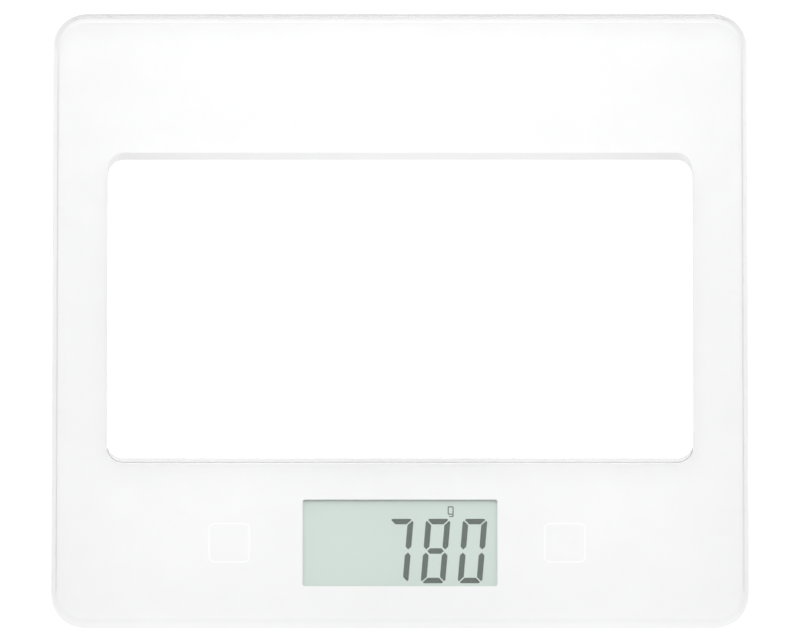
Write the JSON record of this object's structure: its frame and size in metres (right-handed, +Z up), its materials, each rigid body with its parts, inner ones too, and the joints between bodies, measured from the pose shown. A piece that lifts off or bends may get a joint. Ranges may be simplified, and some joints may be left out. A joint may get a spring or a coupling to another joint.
{
  "type": "kitchen scale",
  "caption": "Slim kitchen scale: a white-backed glass frame plate with a wide opening, a display and touch keys at the front, and sprung feet under a thin housing.",
  "frame": {"origin": "on the table, under the middle of the glass plate", "axes": "+X to the right of the person who reads the display, +Y away from them, +Z up"},
  "size_m": [0.215, 0.197, 0.02],
  "materials": {
    "clear_glass": "polished, low-iron, with rounded edges",
    "white_print": "even opaque white print",
    "foam_tape": "closed-cell foam",
    "housing_plastic": "fine spark-eroded texture",
    "screw_steel": "zinc plated",
    "white_potting": "soft potting compound",
    "circuit_board": "green solder mask",
    "chip_black": "moulded epoxy",
    "component_ceramic": "fired ceramic with tinned ends",
    "display_cell": "satin polariser, pale grey-green",
    "holder_plastic": "plain moulded",
    "contact_rubber": "striped silicone",
    "conductive_foam": "foam in conductive cloth",
    "battery_steel": "nickel-plated can",
    "contact_metal": "nickel-plated spring strip",
    "door_plastic": "fine texture",
    "lead_insulation": "smooth vinyl",
    "cell_steel": "ground and nickel plated",
    "foot_plastic": "fine texture",
    "pad_rubber": "matt moulded rubber"
  },
  "bodies": {
    "scale_body": {"platform_glass": "clear_glass", "printed_layer": "white_print", "bond_tape": "foam_tape", "upper_housing": "housing_plastic", "bottom_cover": "housing_plastic", "cover_screws": "screw_steel", "strain_gauges": "white_potting", "main_board": "circuit_board", "board_screws": "screw_steel", "controller_chip": "chip_black", "board_components": "component_ceramic", "display_panel": "display_cell", "display_holder": "holder_plastic", "display_gasket": "foam_tape", "contact_strip": "contact_rubber", "touch_pad_left": "conductive_foam", "touch_pad_right": "conductive_foam", "coin_cell": "battery_steel", "battery_holder": "holder_plastic", "positive_contact": "contact_metal", "negative_contact": "contact_metal", "cell_leads": "lead_insulation", "battery_leads": "lead_insulation"},
    "battery_lid": {"battery_door": "door_plastic"},
    "foot_front_left": {"foot_cup_front_left": "foot_plastic", "foot_pad_front_left": "pad_rubber", "load_cell_front_left": "cell_steel"},
    "foot_front_right": {"foot_cup_front_right": "foot_plastic", "foot_pad_front_right": "pad_rubber", "load_cell_front_right": "cell_steel"},
    "foot_rear_left": {"foot_cup_rear_left": "foot_plastic", "foot_pad_rear_left": "pad_rubber", "load_cell_rear_left": "cell_steel"},
    "foot_rear_right": {"foot_cup_rear_right": "foot_plastic", "foot_pad_rear_right": "pad_rubber", "load_cell_rear_right": "cell_steel"}
  },
  "joints": [
    {"name": "battery_door_turn", "type": "hinge", "parent": "scale_body", "child": "battery_lid", "pos_m": [0, 0.0752, 0.004], "axis": [0, 0, -1], "range_deg": [0, 60]},
    {"name": "foot_front_left_press", "type": "slide", "parent": "scale_body", "child": "foot_front_left", "axis": [0, 0, 1], "range_m": [0, 0.0004], "stiffness_N_per_m": 2000, "deforming": ["load_cell_front_left"]},
    {"name": "foot_front_right_press", "type": "slide", "parent": "scale_body", "child": "foot_front_right", "axis": [0, 0, 1], "range_m": [0, 0.0004], "stiffness_N_per_m": 2000, "deforming": ["load_cell_front_right"]},
    {"name": "foot_rear_left_press", "type": "slide", "parent": "scale_body", "child": "foot_rear_left", "axis": [0, 0, 1], "range_m": [0, 0.0004], "stiffness_N_per_m": 2000, "deforming": ["load_cell_rear_left"]},
    {"name": "foot_rear_right_press", "type": "slide", "parent": "scale_body", "child": "foot_rear_right", "axis": [0, 0, 1], "range_m": [0, 0.0004], "stiffness_N_per_m": 2000, "deforming": ["load_cell_rear_right"]}
  ]
}
